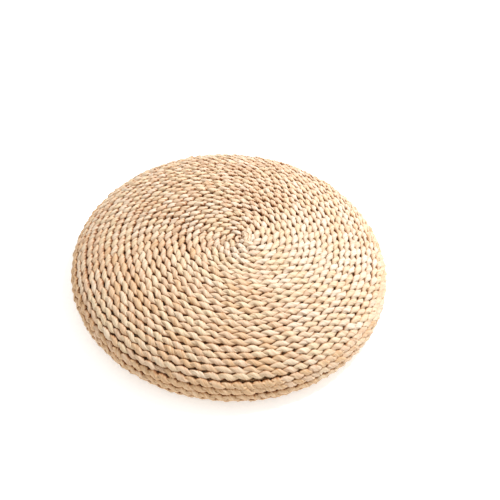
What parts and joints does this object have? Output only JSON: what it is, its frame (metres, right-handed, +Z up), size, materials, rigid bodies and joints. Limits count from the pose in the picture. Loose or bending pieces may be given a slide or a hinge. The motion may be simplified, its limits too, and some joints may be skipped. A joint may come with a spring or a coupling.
{
  "type": "seat pad",
  "caption": "Round domed seat pad wound from twisted husk rope in spirals over a lined filling, flat underneath to rest on a chair or floor.",
  "frame": {"origin": "middle of the flat underside, where the pad rests", "axes": "+Z up through the crown, square to the underside; +X towards the side that the top spiral's start is shifted to"},
  "size_m": [0.3999, 0.3994, 0.0801],
  "materials": {
    "top_rope": "satin",
    "side_rope": "satin",
    "base_rope": "satin",
    "start_knot": "satin",
    "binding_thread": "matte",
    "seam_lacing": "matte",
    "liner_cloth": "matte",
    "filling_fibre": "matte"
  },
  "bodies": {
    "root": {"top_coil": "top_rope", "side_coil": "side_rope", "base_coil": "base_rope", "top_start_knot": "start_knot", "base_start_knot": "start_knot", "top_binding": "binding_thread", "side_binding": "binding_thread", "base_binding": "binding_thread", "top_seam_lacing": "seam_lacing", "base_seam_lacing": "seam_lacing", "liner_top": "liner_cloth", "liner_base": "liner_cloth", "filling": "filling_fibre"}
  },
  "joints": []
}
